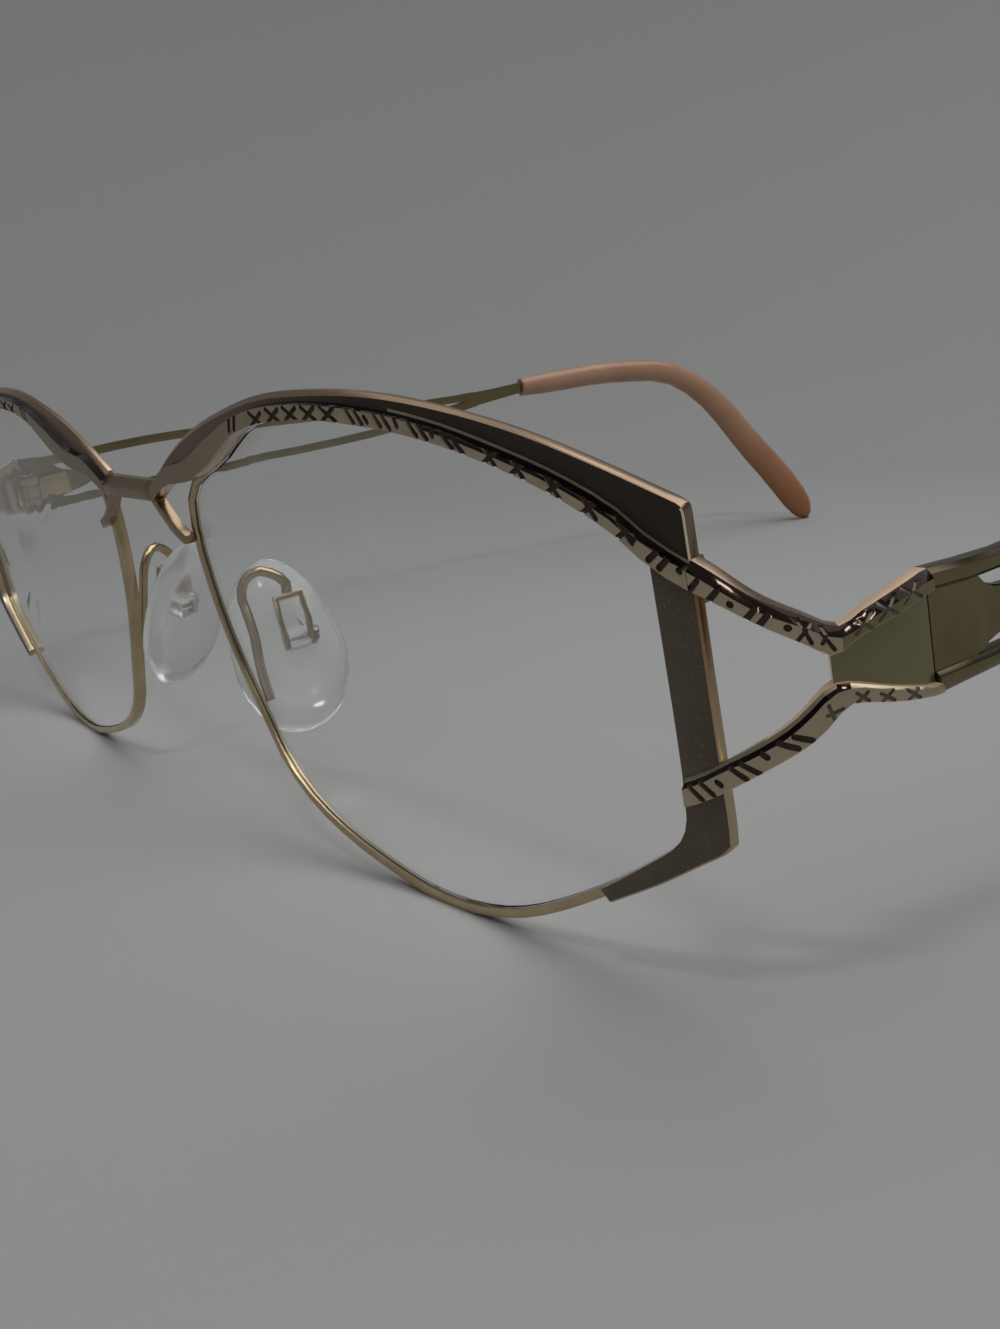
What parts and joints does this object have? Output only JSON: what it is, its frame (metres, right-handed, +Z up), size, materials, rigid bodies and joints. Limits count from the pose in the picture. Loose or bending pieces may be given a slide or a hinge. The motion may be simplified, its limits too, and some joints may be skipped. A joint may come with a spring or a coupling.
{
  "type": "eyeglasses",
  "caption": "Cat-eye metal spectacle frame with raised engraved brow bands, Y-shaped corners, openwork folding temples, clear lenses and rocking nose pads.",
  "frame": {"origin": "middle of the bounding box, on the table under the frame", "axes": "-Y is the front, +X is the wearer's left, +Z is up; the temples reach back along +Y"},
  "size_m": [0.1386, 0.1412, 0.0354],
  "materials": {
    "rose_gold": "polished plating",
    "taupe_lacquer": "matt lacquer with polished edges",
    "screw_steel": "machined",
    "clear_lens": "clear",
    "clear_silicone": "clear, soft",
    "amber_plastic": "translucent"
  },
  "bodies": {
    "front": {"bridge": "rose_gold", "brow_left": "taupe_lacquer", "brow_right": "taupe_lacquer", "bar_left": "taupe_lacquer", "bar_right": "taupe_lacquer", "endpiece_left": "rose_gold", "endpiece_right": "rose_gold", "eyewire_left": "rose_gold", "eyewire_right": "rose_gold", "lens_left": "clear_lens", "lens_right": "clear_lens", "lock_upper_left": "rose_gold", "lock_upper_right": "rose_gold", "lock_lower_left": "rose_gold", "lock_lower_right": "rose_gold", "lock_screw_left": "screw_steel", "lock_screw_right": "screw_steel", "pad_arm_left": "rose_gold", "pad_arm_right": "rose_gold", "pad_box_left": "rose_gold", "pad_box_right": "rose_gold", "pad_screw_left": "screw_steel", "pad_screw_right": "screw_steel", "hinge_front_left": "rose_gold", "hinge_front_right": "rose_gold", "hinge_screw_left": "screw_steel", "hinge_screw_right": "screw_steel"},
    "temple_left": {"temple_left": "rose_gold", "temple_tip_left": "amber_plastic", "hinge_temple_left": "rose_gold"},
    "temple_right": {"temple_right": "rose_gold", "temple_tip_right": "amber_plastic", "hinge_temple_right": "rose_gold"},
    "pad_left": {"nose_pad_left": "clear_silicone"},
    "pad_right": {"nose_pad_right": "clear_silicone"}
  },
  "joints": [
    {"name": "temple_left_fold", "type": "hinge", "parent": "front", "child": "temple_left", "pos_m": [0.06675, -0.05613, 0.0216], "axis": [0, -0.1197, 0.9928], "range_deg": [0, 88]},
    {"name": "temple_right_fold", "type": "hinge", "parent": "front", "child": "temple_right", "pos_m": [-0.06675, -0.05613, 0.0216], "axis": [0, 0.1197, -0.9928], "range_deg": [0, 83]},
    {"name": "pad_left_rock", "type": "hinge", "parent": "front", "child": "pad_left", "pos_m": [0.01257, -0.06247, 0.01567], "axis": [0.2918, 0.9496, 0.1145], "range_deg": [-10, 10]},
    {"name": "pad_right_rock", "type": "hinge", "parent": "front", "child": "pad_right", "pos_m": [-0.01257, -0.06247, 0.01567], "axis": [0.2918, -0.9496, -0.1145], "range_deg": [-10, 10]}
  ]
}
